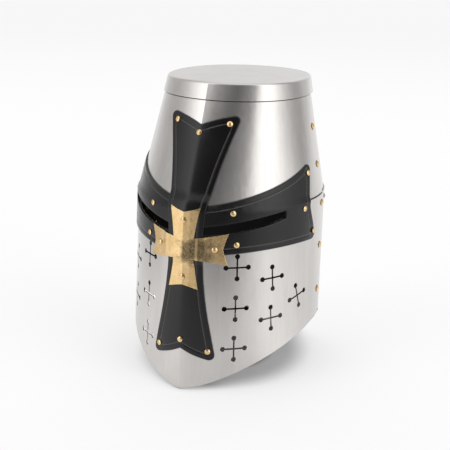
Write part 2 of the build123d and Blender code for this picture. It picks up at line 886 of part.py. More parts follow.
def band_of(lines):
    """Strap of full width along a centre line in the XZ plane, with a round upper end."""
    face = trace(Wire(lines), strap_leather)
    body = extrude(Plane.XZ * face, strap_width / 2, both=True)
    tab = (Pos(pivot_y, pivot_z) * Circle(strap_width / 2)
           + Pos(pivot_y, (pivot_z - strap_sag) / 2) * Rectangle(strap_width,
                                                                 pivot_z + strap_sag))
    return (Pos(0, pivot_y, 0) * body) & prism_side(tab)


def strap_hole(x):
    place = Plane(origin=(x, pivot_y, pivot_z), z_dir=(1, 0, 0))
    return place * Cylinder(shank_radius + pivot_clearance, 2 * strap_stand_off)


# Heights under the skin face of the strap at the buckle, positive down
skin_z = strap_z + strap_leather / 2
bar_depth = strap_leather + seat_gap
far_bar_depth = strap_leather + buckle_gap + buckle_wire
eye_radius = buckle_wire + eye_clearance + eye_leather


def down(x, depth):
    """Place in the XZ plane, from the buckle's bar and the strap's skin face."""
    return buckle_bar_place + x, skin_z - depth


def slab(points):
    """Solid across the strap's full width from an XZ outline."""
    return Pos(0, pivot_y, 0) * extrude(Plane.XZ * make_face(points), strap_width / 2, both=True)


def rod_y(x, depth, radius, length):
    px, pz = down(x, depth)
    return Pos(px, pivot_y, pz) * Rot(90, 0, 0) * Cylinder(radius, length)


def strap_left():
    """The half that ends in an eye folded and sewn round the buckle's bar."""
    side = [edge.mirror(Plane.YZ) for edge in strap_side()]
    flat = Line((-strap_flat_half, strap_z), down(0, strap_leather / 2))
    body = band_of([*side, flat])
    body += rod_y(0, bar_depth, eye_radius, strap_width)
    tail = Polyline(down(0, strap_leather / 2), down(-eye_tail, strap_leather / 2),
                    down(-eye_tail, strap_leather), down(-eye_tail + eye_leather,
                                                         strap_leather + eye_leather),
                    down(0, strap_leather + eye_leather), close=True)
    body += slab(tail.edges())
    body -= rod_y(0, bar_depth, buckle_wire + eye_clearance, 2 * strap_width)
    px, pz = down(0, bar_depth)
    notch = Pos(px, pivot_y, pz) * Box(2 * eye_radius + 2 * strap_leather, eye_slot,
                                       2 * eye_radius + 2 * strap_leather)
    pieces["strap_left"] = body - notch - strap_hole(-strap_x)


def strap_right():
    """The pointed half, which passes under the frame, over the bar and through the keeper."""
    start = down(tongue_crest + tongue_drop_run, strap_leather / 2)
    crest = down(tongue_crest, tongue_hump)
    back = down(-tongue_crest, tongue_hump)
    lay = down(-tongue_crest - eye_radius - strap_leather, tongue_lay)
    end = down(-tongue_end, tongue_lay)
    pull = tongue_drop_run / 3
    ease = eye_radius / 2
    body = band_of([
        *strap_side(), Line((strap_flat_half, strap_z), start),
        Bezier(start, (start[0] - pull, start[1]), (crest[0] + pull, crest[1]), crest),
        Line(crest, back),
        Bezier(back, (back[0] - ease, back[1]), (lay[0] + ease, lay[1]), lay),
        Line(lay, end)])
    left = end[0] - overrun
    outline = Polyline((left, pivot_y), (end[0], pivot_y),
                       (end[0] + tongue_point, pivot_y + strap_width / 2 + seat_gap),
                       (left, pivot_y + strap_width / 2 + seat_gap), close=True)
    corner = extrude(make_face(outline), pivot_z)
    body = body - corner - mirror(corner, about=Plane.XZ.offset(-pivot_y))
    for index in range(-prong_hole_count, prong_hole_count + 1):
        x = buckle_bar_place + prong_hole_place + index * prong_hole_pitch
        slot = extrude(SlotOverall(prong_hole_length, prong_hole_width), pivot_z)
        body -= Pos(x, pivot_y, 0) * slot
    pieces["strap_right"] = body - strap_hole(strap_x)


def buckle_frame():
    """A rounded rectangle of wire whose near side is the bar."""
    px, pz = down(0, bar_depth)
    qx, qz = down(buckle_window, far_bar_depth)
    plane = Plane(origin=((px + qx) / 2, pivot_y, (pz + qz) / 2), x_dir=(qx - px, 0, qz - pz),
                  z_dir=Vector(qx - px, 0, qz - pz).cross(Vector(0, 1, 0)))
    path = RectangleRounded(math.hypot(qx - px, qz - pz), 2 * buckle_half_width,
                            buckle_corner).wire()
    spot = path @ 0
    ring = sweep(Plane(origin=spot, z_dir=path % 0) * Circle(buckle_wire), path=path)
    pieces["buckle_frame"] = plane * ring


def buckle_prong():
    """A loop round the bar and a tapered arm that lies on the far side of the frame."""
    loop = buckle_wire + prong_clearance + prong_metal
    tip_x = buckle_window + buckle_wire + prong_overhang
    tip_depth = far_bar_depth + buckle_wire + buckle_gap
    body = Pos(0, 0, 0) * rod_y(0, bar_depth, loop, prong_width)
    arm = Polyline(down(0, bar_depth + loop - prong_metal), down(tip_x, tip_depth),
                   down(tip_x, tip_depth + prong_tip_metal),
                   down(buckle_window / 2, bar_depth + loop + prong_metal / 2),
                   down(0, bar_depth + loop), close=True)
    body += Pos(0, pivot_y, 0) * extrude(Plane.XZ * make_face(arm.edges()), prong_width / 2,
                                         both=True)
    pieces["buckle_prong"] = body - rod_y(0, bar_depth, buckle_wire + prong_clearance,
                                          2 * prong_width)


def strap_keeper():
    """A sewn loop that holds the tongue to the left half."""
    low = tongue_lay + strap_leather / 2 + keeper_gap
    high = -keeper_gap / 2
    x, z = down(-keeper_offset, (low + high) / 2)
    hole = (keeper_width + overrun, strap_width + keeper_gap, low - high)
    rim = (keeper_width, hole[1] + 2 * keeper_leather, hole[2] + 2 * keeper_leather)
    pieces["strap_keeper"] = Pos(x, pivot_y, z) * (Box(*rim) - Box(*hole))


strap_pivots()
strap_left()
strap_right()
buckle_frame()
buckle_prong()
strap_keeper()


# Drill the holes, set the model on its own centre and write the pieces

for name, cutters in drills.items():
    pieces[name] = pieces[name] - cutters
nodes = {name: shape.solids() for name, shape in pieces.items()}
for name, group in rivets.items():
    nodes[name] = [solid for shape in group for solid in shape.solids()]
boxes = [solid.bounding_box() for group in nodes.values() for solid in group]
front, back = min(box.min.Y for box in boxes), max(box.max.Y for box in boxes)
floor = min(box.min.Z for box in boxes)
shift = Pos(0, -(front + back) / 2, -floor)
print("shift", round(-(front + back) / 2, 4), round(-floor, 4))
print("strap pivot", round(pivot_y - (front + back) / 2, 4), round(pivot_z - floor, 4))
print("prong bar", round(buckle_bar_place, 4), round(skin_z - bar_depth - floor, 4))
os.makedirs("parts", exist_ok=True)
for name, group in nodes.items():
    moved = [shift * solid for solid in group]
    export_step(moved[0] if len(moved) == 1 else Compound(children=moved), f"parts/{name}.step")
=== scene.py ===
import bpy
import bmesh
import math
import numpy as np
from mathutils import Matrix, Vector
from mathutils.geometry import delaunay_2d_cdt


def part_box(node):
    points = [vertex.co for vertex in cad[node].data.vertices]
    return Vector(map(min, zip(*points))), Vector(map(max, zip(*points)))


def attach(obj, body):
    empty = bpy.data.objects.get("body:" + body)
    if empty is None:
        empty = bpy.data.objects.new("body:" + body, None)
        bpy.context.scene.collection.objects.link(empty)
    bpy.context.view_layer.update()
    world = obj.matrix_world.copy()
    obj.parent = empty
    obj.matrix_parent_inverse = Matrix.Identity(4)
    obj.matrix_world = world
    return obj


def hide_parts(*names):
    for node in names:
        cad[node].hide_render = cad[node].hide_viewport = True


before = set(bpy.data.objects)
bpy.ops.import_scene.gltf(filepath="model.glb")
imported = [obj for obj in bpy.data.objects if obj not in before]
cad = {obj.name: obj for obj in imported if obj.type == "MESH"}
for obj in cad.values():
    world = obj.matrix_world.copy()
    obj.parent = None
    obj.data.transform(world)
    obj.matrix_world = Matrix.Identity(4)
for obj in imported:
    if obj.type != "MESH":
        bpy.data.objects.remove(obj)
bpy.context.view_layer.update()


# Steel plates: four curved sheets and the crown plate, cut from 1.2 mm sheet, bent and
# lapped over each other. They are ground with an upright grain and left bright, and
# each cut edge is rounded by a file.

# Half width and reach before and behind the helm's middle, at foot, ring seam and crown
half_widths = (0.1088, 0.1054, 0.0812)
fronts = (0.1319, 0.1222, 0.0798)
backs = (0.1150, 0.1202, 0.1064)
crown_low, crown_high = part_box("crown_plate")
# How far the helm's middle lies behind the frame's
shift = (crown_low.y + crown_high.y) / 2 - (backs[2] - fronts[2]) / 2
file_rounding = 0.0005
steel_tint = (0.635, 0.612, 0.592)
# Inside scale: painted lighter low down as light from the floor, and dark higher up
scale_and_painted_floor_light, scale_high = (0.3, 0.29, 0.28), (0.02, 0.019, 0.018)
# Colours of painted shade in corners, and of dirt with painted shade in the seams
steel_corner_shade, joint_dirt_and_shade = (0.03, 0.027, 0.024), (0.05, 0.045, 0.04)


class Tone:
    """A number, place or colour inside a material. Arithmetic on it adds Math nodes."""

    def __init__(self, tree, socket):
        self.tree = tree
        self.socket = socket

    def node(self, kind, settings=None, inputs=None, out=0):
        """Any node. Its settings and its ramp's stops are set before its sockets."""
        made = self.tree.nodes.new(kind)
        settings = dict(settings or {})
        stops = settings.pop("stops", None)
        for name, value in settings.items():
            setattr(made, name, value)
        if stops:
            ramp = made.color_ramp.elements
            while len(ramp) < len(stops):
                ramp.new(0.5)
            for element, (place, grey) in zip(ramp, stops):
                element.position = place
                element.color = (grey, grey, grey, 1)
        for name, value in (inputs or {}).items():
            if isinstance(value, Tone):
                self.tree.links.new(value.socket, made.inputs[name])
            else:
                made.inputs[name].default_value = value
        return Tone(self.tree, made.outputs[out] if len(made.outputs) else None)

    def math(self, operation, other=0.0):
        return self.node("ShaderNodeMath", {"operation": operation}, {0: self, 1: other})

    def vector_math(self, operation, other, out=0):
        return self.node("ShaderNodeVectorMath", {"operation": operation},
                         {0: self, 1: other}, out)

    def __add__(self, other):
        return self.math("ADD", other)

    def __sub__(self, other):
        if isinstance(other, tuple):
            return self.vector_math("SUBTRACT", other)
        return self.math("SUBTRACT", other)

    def __rsub__(self, other):
        return self.node("ShaderNodeMath", {"operation": "SUBTRACT"}, {0: other, 1: self})

    def __mul__(self, other):
        return self.math("MULTIPLY", other)

    __radd__ = __add__
    __rmul__ = __mul__

    def axis(self, name):
        return self.node("ShaderNodeSeparateXYZ", None, {0: self}, name)

    def length(self):
        return self.vector_math("LENGTH", (0, 0, 0), "Value")

    def stretched(self, x, y, z):
        return self.vector_math("MULTIPLY", (x, y, z))

    def tinted(self, share):
        return self.stretched(share, share, share)

    def between(self, low, high):
        """0 below low, 1 above high, smooth in between."""
        return self.node("ShaderNodeMapRange", {"interpolation_type": "SMOOTHSTEP"},
                         {"Value": self, "From Min": low, "From Max": high})

    def strip(self, start, full, fade, end):
        """1 from full to fade, 0 before start and after end."""
        return self.between(start, full) * (1 - self.between(fade, end))

    def noise(self, scale, detail, roughness=0.55):
        return self.node("ShaderNodeTexNoise", None,
                         {"Vector": self, "Scale": scale, "Detail": detail,
                          "Roughness": roughness})

    def open_share(self, reach, samples):
        """1 in the open, less where something stands within reach."""
        return self.node("ShaderNodeAmbientOcclusion", {"samples": samples},
                         {"Distance": reach}, "AO")

    def blend(self, low, high):
        """Colour from low to high by this number. Mix takes colours at sockets 6 and 7."""
        low, high = (v if isinstance(v, Tone) else (*v, 1) for v in (low, high))
        return self.node("ShaderNodeMix", {"data_type": "RGBA"},
                         {"Factor": self, 6: low, 7: high}, 2)


def new_finish(name, **fixed):
    """A material, its shader node and its coordinates in metres."""
    material = bpy.data.materials.new(name)
    material.use_nodes = True
    shader = material.node_tree.nodes["Principled BSDF"]
    for socket, value in fixed.items():
        shader.inputs[socket.replace("_", " ")].default_value = value
    place = Tone(material.node_tree, None).node("ShaderNodeTexCoord", out="Object")
    return material, shader, place


def apply_finish(shader, **sockets):
    for socket, tone in sockets.items():
        tone.tree.links.new(tone.socket, shader.inputs[socket.replace("_", " ")])


def raised(height, depth, rounding):
    """Normal from a height between 0 and 1, depth metres deep, over rounded edges."""
    edge = height.node("ShaderNodeBevel", {"samples": 4}, {"Radius": rounding})
    return height.node("ShaderNodeBump", None,
                       {"Strength": 1.0, "Distance": depth, "Height": height,
                        "Normal": edge})


def painted_corner_shade(place, reach):
    """Share of painted shade: 1 in the corner where another piece stands on this one, 0 in the
    open.
    """
    return 1 - place.open_share(reach, 4).between(0.45, 0.85)


def facing_way(place):
    """The way that the true face looks, without its smooth shading."""
    return place.node("ShaderNodeNewGeometry", out="True Normal")


def turned_in(place):
    """1 on faces that look towards the helm's middle, 0 on those that look out."""
    level = (place - (0, shift, 0)).stretched(1, 1, 0)
    facing = facing_way(place).vector_math("DOT_PRODUCT", level, "Value")
    return 1 - facing.between(-0.02, -0.005)


def ground_steel(name, joints=()):
    """Bright outside, dull dark scale inside with painted floor light low down. Joints are
    heights where dirt and painted shade sit.
    """
    material, shader, place = new_finish(name, Metallic=1.0)
    grain = place.stretched(1, 1, 0.03).noise(1400, 2)
    brushing = place.stretched(1, 1, 0.08).noise(300, 3)
    streaks = place.stretched(1, 1, 0.02).noise(42, 2)
    cloud = place.noise(16, 2)
    inside = turned_in(place)
    rough = 0.15 + grain * 0.06 + brushing * 0.05 + cloud * 0.06 + inside * 0.35
    light = tuple(c * 1.04 for c in steel_tint)
    dark = tuple(c * 0.94 for c in steel_tint)
    colour = (brushing * 0.3 + cloud * 0.3 + streaks * 0.4).between(0.35, 0.65)
    colour = colour.blend(dark, light)
    height = place.axis("Z")
    # Painted light: low down the inside is lighter, as if lit from the floor under the open foot
    scale = (height + cloud * 0.02).between(0.04, 0.065).blend(scale_and_painted_floor_light, scale_high)
    colour = inside.blend(colour, scale)
    # Painted shade in the corners where another piece stands on the plate
    colour = (painted_corner_shade(place, 0.002) * 0.8).blend(colour, steel_corner_shade)
    # Dirt and painted shade in a thin band beside the edge of the plate that laps over this one
    for low, high in joints:
        seam_dirt_and_shade = height.strip(low - 0.0003, low, high - 0.0002, high)
        colour = seam_dirt_and_shade.blend(colour, joint_dirt_and_shade)
    apply_finish(shader, Base_Color=colour, Roughness=rough, Metallic=1 - inside * 0.8,
                 Normal=raised(grain * 0.5 + brushing * 0.5, depth=0.00002,
                               rounding=file_rounding))
    return material


ring_top, crown_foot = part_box("lower_back_plate")[1].z, crown_low.z
seam_joint, crown_joint = (ring_top, ring_top + 0.0013), (crown_foot - 0.0009, crown_foot)
plain_steel = ground_steel("ground_steel")
jointed_steel = ground_steel("jointed_steel", (seam_joint, crown_joint))
for plate in ("lower_front_plate", "lower_back_plate", "crown_plate"):
    cad[plate].material_slots[0].material = plain_steel
for plate in ("upper_front_plate", "upper_back_plate"):
    cad[plate].material_slots[0].material = jointed_steel


# Rivets: brass ones with a low dome and a peened nub hold the leather, the brass and the
# side seams; smaller steel ones close the ring seam and the liner behind. Each is
# polished by the hammer, mottled with dull, and has painted shade in the ring around it.

def rivet_metal(name, bright, dull):
    material, shader, place = new_finish(name, Metallic=1.0)
    rivet_seat_shade = tuple(c * 0.12 for c in dull)
    colour = place.noise(900, 3).between(0.35, 0.65).blend(dull, bright)
    # Painted shade in the ring where the rivet meets its seat
    colour = (painted_corner_shade(place, 0.0025) * 0.9).blend(colour, rivet_seat_shade)
    rough = 0.08 + place.noise(2200, 2) * 0.14
    apply_finish(shader, Base_Color=colour, Roughness=rough,
                 Normal=raised(place.noise(1500, 2), depth=0.00008, rounding=0.0003))
    return material


rivet_brass = rivet_metal("rivet_brass", bright=(0.92, 0.68, 0.36), dull=(0.74, 0.5, 0.24))
rivet_steel = rivet_metal("rivet_steel", bright=(0.62, 0.61, 0.6), dull=(0.45, 0.44, 0.43))
for name in cad:
    if name in ("ring_rivets", "liner_rivets"):
        cad[name].material_slots[0].material = rivet_steel
    elif "rivets" in name or "burrs" in name or "spacers" in name:
        cad[name].material_slots[0].material = rivet_brass


# Brass cross: cut from sheet, hammered a little, then bent over the ridge and the
# leather. Its face is mottled where it was handled and darker in a patch beside the ridge,
# with painted shade where pieces meet it and painted highlight on its bend and on faces that look
# up.
# The buckle under the chin is made of the same brass.

cross_low, cross_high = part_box("brass_cross")
dark_patch_middle = (0.014, 0, (cross_low.z + cross_high.z) / 2 - 0.002)
brass_bend = 0.0148
brass_dark, brass_light = (0.7, 0.48, 0.23), (0.84, 0.61, 0.32)
brass_dark_patch, brass_edge_highlight = (0.13, 0.1, 0.06), (0.98, 0.93, 0.82)
brass_corner_shade = (0.12, 0.07, 0.03)


def mottled_brass():
    material, shader, place = new_finish("mottled_brass", Metallic=1.0)
    patches = place.noise(95, 4, 0.6)
    specks = place.noise(700, 3, 0.75)
    # A dark patch about 24 mm across and 20 mm up, broken by specks, thin on the bend as painted
    # highlight
    reach = (place - dark_patch_middle).stretched(42, 0, 50).length()
    dark_patch = 1 - (reach + patches * 1.3 + specks * 0.9).between(1.6, 2.1)
    from_bend = (place.axis("X").math("ABSOLUTE") - brass_bend).math("ABSOLUTE")
    dark_patch = dark_patch * (0.6 + specks.between(0.44, 0.54) * 0.4)
    # Painted highlight: the patch is kept thin where the sheet bends down off the upright
    dark_patch = dark_patch * (0.3 + from_bend.between(0.0006, 0.002) * 0.7)
    colour = (patches * 0.5 + specks * 0.5).between(0.35, 0.65).blend(brass_dark, brass_light)
    colour = dark_patch.blend(colour, brass_dark_patch)
    # Painted shade in the corners where rivets and other pieces meet the brass
    colour = (painted_corner_shade(place, 0.0025) * 0.8).blend(colour, brass_corner_shade)
    # Painted highlight on faces that look up, such as the cut edges along the top
    colour = facing_way(place).axis("Z").between(0.5, 0.7).blend(colour, brass_edge_highlight)
    rough = 0.2 + specks * 0.12 + dark_patch * 0.08
    dents = place.node("ShaderNodeTexVoronoi", {"feature": "SMOOTH_F1"},
                       {"Vector": place, "Scale": 190.0, "Smoothness": 0.6})
    apply_finish(shader, Base_Color=colour, Roughness=rough,
                 Normal=raised(dents * 0.6 + specks * 0.4, depth=0.0002,
                               rounding=file_rounding))
    return material


sheet_brass = mottled_brass()
for name in ("brass_cross", "buckle_frame", "buckle_prong"):
    cad[name].material_slots[0].material = sheet_brass


# Leather cross: an upright and two arms of black leather, 2 mm thick, laid wet over the
# steel so that they take its creases. A line is tooled all round a little in from the
# edge, the edges are rubbed round, and the rivets pull the face down beneath them.

# The plates' plan sections again, from the foot up, as they bend from ridge to nape
section_heights = (0.0, 0.2012, 0.3105)
widest_places = (-0.0126, -0.0013, 0.0130)
ridge_angles = (math.radians(4.8), math.radians(8.5), math.radians(4.5))
cheek_shares = (0.425, 0.442, 0.659)
side_shares = (0.45, 0.556, 0.595)
fullness_share = 0.59
ring_height, crown_height = section_heights[1:]

# The leather lies on the lower plates, climbs over the arms and drops to the upper plates
leather_thickness = 0.002
on_plate, over_arm, on_upper = -0.0021, -0.0042, -0.0006
arm_root_drop = 0.051
arm_root_low = ring_height - arm_root_drop
step_rise, step_run, arm_step_run = 0.008, 0.008, 0.004
lap_gap = 0.00015
below_arms, above_arms = 0.1, 0.3

# Distance from the edge and depth there: the rubbed edge, then the tooled line
rubbed_edge = [(0, 0.0006), (0.0003, 0.00025), (0.0007, 0.00007), (0.0011, 0.0)]
tooled_line = [(0.0049, 0.0), (0.0054, 0.0003), (0.0058, 0.00045), (0.0062, 0.0003),
               (0.0067, 0.0), (0.009, 0.0)]
rivet_dip, rivet_dip_reach = 0.00035, 0.0042
largest_hole = 0.008
corner_turn = math.radians(28)


def plan_points(index, inset):
    """Control points of the right half of one plan section, from ridge to nape."""
    width, front, back = (v[index] - inset for v in (half_widths, fronts, backs))
    cheek = cheek_shares[index] * width
    angle, middle = ridge_angles[index], widest_places[index]
    return np.array([
        (0, -front), (cheek * math.cos(angle), cheek * math.sin(angle) - front),
        (width, middle - side_shares[index] * (front + middle)), (width, middle),
        (width, middle + fullness_share * (back - middle)), (fullness_share * width, back),
        (0, back)])


def wall_curve(height, inset, shares):
    """Points on the half section at a height, for shares from 0 at the ridge to 2 behind."""
    low, ring, top = section_heights
    if height <= ring:
        k, pair = (height - low) / (ring - low), (0, 1)
    else:
        k, pair = min((height - ring) / (top - ring), 1), (1, 2)
    points = plan_points(pair[0], inset) * (1 - k) + plan_points(pair[1], inset) * k
    shares = np.atleast_1d(np.asarray(shares, float))
    behind = shares > 1
    t = np.where(behind, shares - 1, shares)[:, None]
    bernstein = np.hstack([(1 - t) ** 3, 3 * (1 - t) ** 2 * t, 3 * (1 - t) * t * t, t ** 3])
    curve = np.where(behind[:, None], bernstein @ points[3:], bernstein @ points[:4])
    return curve + (0, shift)


class Laying:
    """Lays a flat cut piece on the helm: along is the way round, up the way over its steps."""

    coarse_steps, stride = 200, 6

    def __init__(self, levels):
        self.heights, self.insets = (np.array(v, float) for v in zip(*levels))
        self.shares = np.linspace(0, 2, self.coarse_steps * self.stride + 1)
        curve = wall_curve(ring_height, 0, self.shares)
        runs = np.linalg.norm(np.diff(curve, axis=0), axis=1)
        self.rounds = np.concatenate([[0], np.cumsum(runs)])
        rises = np.hypot(np.diff(self.heights), np.diff(self.insets))
        self.ups = np.concatenate([[0], np.cumsum(rises)])

    def lay(self, flat, sink):
        """Places of flat points, sunk from the outer face by sink."""
        heights = np.interp(flat[:, 1], self.ups, self.heights)
        insets = np.interp(flat[:, 1], self.ups, self.insets) + sink
        shares = np.interp(abs(flat[:, 0]), self.rounds, self.shares)
        out = np.empty((len(flat), 3))
        for i, (share, height, inset) in enumerate(zip(shares, heights, insets)):
            x, y = wall_curve(height, inset, share)[0]
            out[i] = (math.copysign(x, flat[i, 0]) if flat[i, 0] else x, y, height)
        return out

    def flatten(self, places):
        """Flat points of places on the outer face, found in coarse and then fine steps."""
        flat = np.empty((len(places), 2))
        for i, (x, y, z) in enumerate(places):
            up = float(np.interp(z, self.heights, self.ups))
            inset = float(np.interp(z, self.heights, self.insets))
            curve = wall_curve(z, inset, self.shares[::self.stride])
            near = int(np.argmin(np.hypot(curve[:, 0] - abs(x), curve[:, 1] - y)))
            low = max(near - 1, 0) * self.stride
            high = min(near + 1, self.coarse_steps) * self.stride
            fine = wall_curve(z, inset, self.shares[low:high + 1])
            near = low + int(np.argmin(np.hypot(fine[:, 0] - abs(x), fine[:, 1] - y)))
            flat[i] = (math.copysign(self.rounds[near], x), up)
        return flat


def face_loops(node, facing):
    """Closed edges of the face that a cut piece shows, as lists of places."""
    shell = bmesh.new()
    shell.from_mesh(cad[node].data)
    bmesh.ops.remove_doubles(shell, verts=shell.verts, dist=1e-6)
    # The face looks the way that facing gives, and the cut edges look across it
    shown = {f.index for f in shell.faces if f.normal.dot(facing(f.calc_center_median())) > 0.6}
    rim = {}
    for edge in shell.edges:
        if sum(f.index in shown for f in edge.link_faces) == 1:
            for vert, other in (tuple(edge.verts), tuple(edge.verts)[::-1]):
                rim.setdefault(vert.index, []).append(other.index)
    places = {v.index: tuple(v.co) for v in shell.verts}
    shell.free()
    loops = []
    while rim:
        start = at = next(iter(rim))
        loop = []
        while at in rim:
            loop.append(places[at])
            onward = [v for v in rim.pop(at) if v in rim]
            at = onward[0] if onward else start
        loops.append(np.array(loop))
    return loops


def outward(place):
    return Vector((place.x, place.y - shift, 0)).normalized()


def evenly(loop, spacing):
    """The same outline with even steps, its corners kept."""
    ahead = np.roll(loop, -1, axis=0) - loop
    angles = np.arctan2(ahead[:, 1], ahead[:, 0])
    turns = abs((angles - np.roll(angles, 1) + math.pi) % (2 * math.pi) - math.pi)
    corners = np.flatnonzero(turns > corner_turn)
    if not len(corners):
        corners = np.array([0])
    out = []
    for first, last in zip(corners, np.roll(corners, -1)):
        span = np.arange(first, last + 1 if last > first else last + 1 + len(loop)) % len(loop)
        stretch = loop[span]
        runs = np.concatenate([[0], np.cumsum(np.linalg.norm(np.diff(stretch, axis=0), axis=1))])
        steps = max(1, round(runs[-1] / spacing))
        marks = np.linspace(0, runs[-1], steps + 1)[:-1]
        out.append(np.stack([np.interp(marks, runs, stretch[:, i]) for i in (0, 1)], axis=1))
    return np.vstack(out)


def edge_distance(points, loops):
    """Distance of each point to the nearest edge of the loops."""
    best = np.full(len(points), 1.0)
    for loop in loops:
        for a, b in zip(loop, np.roll(loop, -1, axis=0)):
            run = b - a
            t = np.clip(((points - a) @ run) / max(run @ run, 1e-18), 0, 1)
            best = np.minimum(best, np.linalg.norm(points - a - t[:, None] * run, axis=1))
    return best


def inside_loops(points, loops):
    """Whether each point is inside an odd number of the loops."""
    within = np.zeros(len(points), bool)
    for loop in loops:
        for a, b in zip(loop, np.roll(loop, -1, axis=0)):
            if a[1] == b[1]:
                continue
            crosses = (a[1] > points[:, 1]) != (b[1] > points[:, 1])
            x = a[0] + (points[:, 1] - a[1]) * (b[0] - a[0]) / (b[1] - a[1])
            within ^= crosses & (points[:, 0] < x)
    return within


def unit(runs):
    """Runs of length 1. One of no length stays as it is."""
    return runs / np.maximum(np.linalg.norm(runs, axis=1), 1e-9)[:, None]


def beside(loop, depth):
    """Points at a depth on both sides of a loop."""
    way = unit(np.roll(loop, -1, axis=0) - loop) + unit(loop - np.roll(loop, 1, axis=0))
    normal = unit(np.stack([-way[:, 1], way[:, 0]], axis=1))
    return np.vstack([loop + normal * depth, loop - normal * depth])


def ring_points(loop, depth, edges):
    """Points of the piece that lie at a depth from one of its edges and no nearer to any."""
    ring = beside(loop, depth)
    return ring[inside_loops(ring, edges) & (edge_distance(ring, edges) > depth * 0.97)]


def filling_points(outer, edges, taken, filling):
    """Staggered rows of points over the piece, clear of those that are taken."""
    low, high = outer.min(0), outer.max(0)
    columns = np.arange(low[0], high[0], filling)
    rows = np.arange(low[1], high[1], filling * 0.87)
    grid = np.array([(x + (j % 2) * filling / 2, y) for j, y in enumerate(rows) for x in columns])
    grid = grid[inside_loops(grid, edges)]
    return grid[[np.min((taken[:, 0] - x) ** 2 + (taken[:, 1] - y) ** 2) > (filling * 0.6) ** 2
                 for x, y in grid]]


def flat_faces(points, edges):
    """The points joined into triangles that keep the edges, and those inside them."""
    rims, start = [], 0
    for loop in edges:
        rims += [(start + i, start + (i + 1) % len(loop)) for i in range(len(loop))]
        start += len(loop)
    made = delaunay_2d_cdt([Vector(p) for p in points], rims, [], 0, 1e-9)
    flat = np.array([tuple(v) for v in made[0]])
    faces = np.array([tuple(f) for f in made[2] if len(f) == 3])
    return flat, faces[inside_loops(flat[faces].mean(axis=1), edges)]


def solid_polygons(faces, count):
    """The face, the back, whose points come count later, and the walls between them."""
    sides = [side for a, b, c in faces for side in ((a, b), (b, c), (c, a))]
    shared = set(sides)
    back = [(c + count, b + count, a + count) for a, b, c in faces]
    walls = [(q, p, p + count, q + count) for p, q in sides if (q, p) not in shared]
    return faces + back + walls


def face_sink(flat, to_outer, cuts, holes, edge, line):
    """Depth of the face at each point: rubbed edges, a tooled line and dips at the rivets."""
    sink = np.interp(edge_distance(flat, cuts), *zip(*edge))
    if line:
        sink = np.maximum(sink, np.interp(to_outer, *zip(*edge, *line)))
    for hole in holes:
        reach = np.linalg.norm(flat - hole.mean(0), axis=1)
        sink = sink + rivet_dip * np.exp(-(reach / rivet_dip_reach) ** 2)
    return sink


def cut_mesh(name, places, polygons, border):
    """A mesh shaded smooth up to its corners, which knows how far the border is."""
    mesh = bpy.data.meshes.new(name)
    mesh.from_pydata(places.tolist(), [], polygons)
    distances = mesh.attributes.new("border", "FLOAT", "POINT")
    distances.data.foreach_set("value", border)
    mesh.validate()
    shell = bmesh.new()
    shell.from_mesh(mesh)
    bmesh.ops.delete(shell, geom=[v for v in shell.verts if not v.link_faces], context="VERTS")
    bmesh.ops.recalc_face_normals(shell, faces=shell.faces)
    shell.to_mesh(mesh)
    shell.free()
    for polygon in mesh.polygons:
        polygon.use_smooth = True
    mesh.set_sharp_from_angle(angle=math.radians(50))
    return mesh


def cut_piece(node, laying, thickness, edge, spacing, filling, line=(), facing=outward):
    """A cut sheet in place of a soft node, with its edge rubbed and perhaps a tooled line.

    Its points stand at spacing along the edges and at filling over the face.
    """
    loops = [laying.flatten(loop) for loop in face_loops(node, facing)]
    holes = [loop for loop in loops if max(np.ptp(loop, axis=0)) < largest_hole]
    cuts = [evenly(loop, spacing) for loop in loops if max(np.ptp(loop, axis=0)) >= largest_hole]
    outer = max(cuts, key=lambda loop: np.ptp(loop[:, 0]))
    edges = cuts + holes
    points = edges + [ring_points(loop, depth, edges) for depth, _ in edge[1:] for loop in cuts]
    points += [ring_points(outer, depth, edges) for depth, _ in line]
    points.append(filling_points(outer, edges, np.vstack(points), filling))
    flat, faces = flat_faces(np.vstack(points), edges)
    to_outer = edge_distance(flat, [outer])
    face = laying.lay(flat, face_sink(flat, to_outer, cuts, holes, edge, line))
    back = laying.lay(flat, np.full(len(flat), thickness))
    mesh = cut_mesh("cut_" + node, np.vstack([face, back]),
                    solid_polygons(faces.tolist(), len(flat)), np.tile(to_outer, 2))
    piece = bpy.data.objects.new("cut_" + node, mesh)
    bpy.context.scene.collection.objects.link(piece)
    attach(piece, "root")
    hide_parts(node)
    return piece


def leather(name, dark, light, shine, lip_highlight_colour=None):
    """Cut leather, with the tooled line where its mesh says how far the edge is: painted shade in
    its groove, painted highlight on its lip.
    """
    material, shader, place = new_finish(name, Metallic=0.0, Specular_IOR_Level=shine)
    pores = place.node("ShaderNodeTexVoronoi", {"feature": "F1"},
                       {"Vector": place, "Scale": 1100.0})
    creases = place.noise(420, 4, 0.6)
    handled = place.noise(38, 3)
    colour = (handled * 0.7 + creases * 0.3).between(0.38, 0.66).blend(dark, light)
    if lip_highlight_colour:
        border = place.node("ShaderNodeAttribute", {"attribute_name": "border"}, out="Fac")
        # Painted shade in the tooled groove and painted highlight on the lip beside it
        groove_shade = border.strip(0.0049, 0.0055, 0.0057, 0.0061)
        lip_highlight = border.strip(0.0059, 0.0063, 0.0067, 0.0074)
        colour = groove_shade.blend(colour, dark)
        colour = (lip_highlight * (0.4 + creases * 0.9)).blend(colour, lip_highlight_colour)
    rough = 0.1 + creases * 0.14 + handled * 0.06
    apply_finish(shader, Base_Color=colour, Roughness=rough,
                 Normal=raised(pores * 0.5 + creases * 0.5, depth=0.00016, rounding=0.0006))
    return material


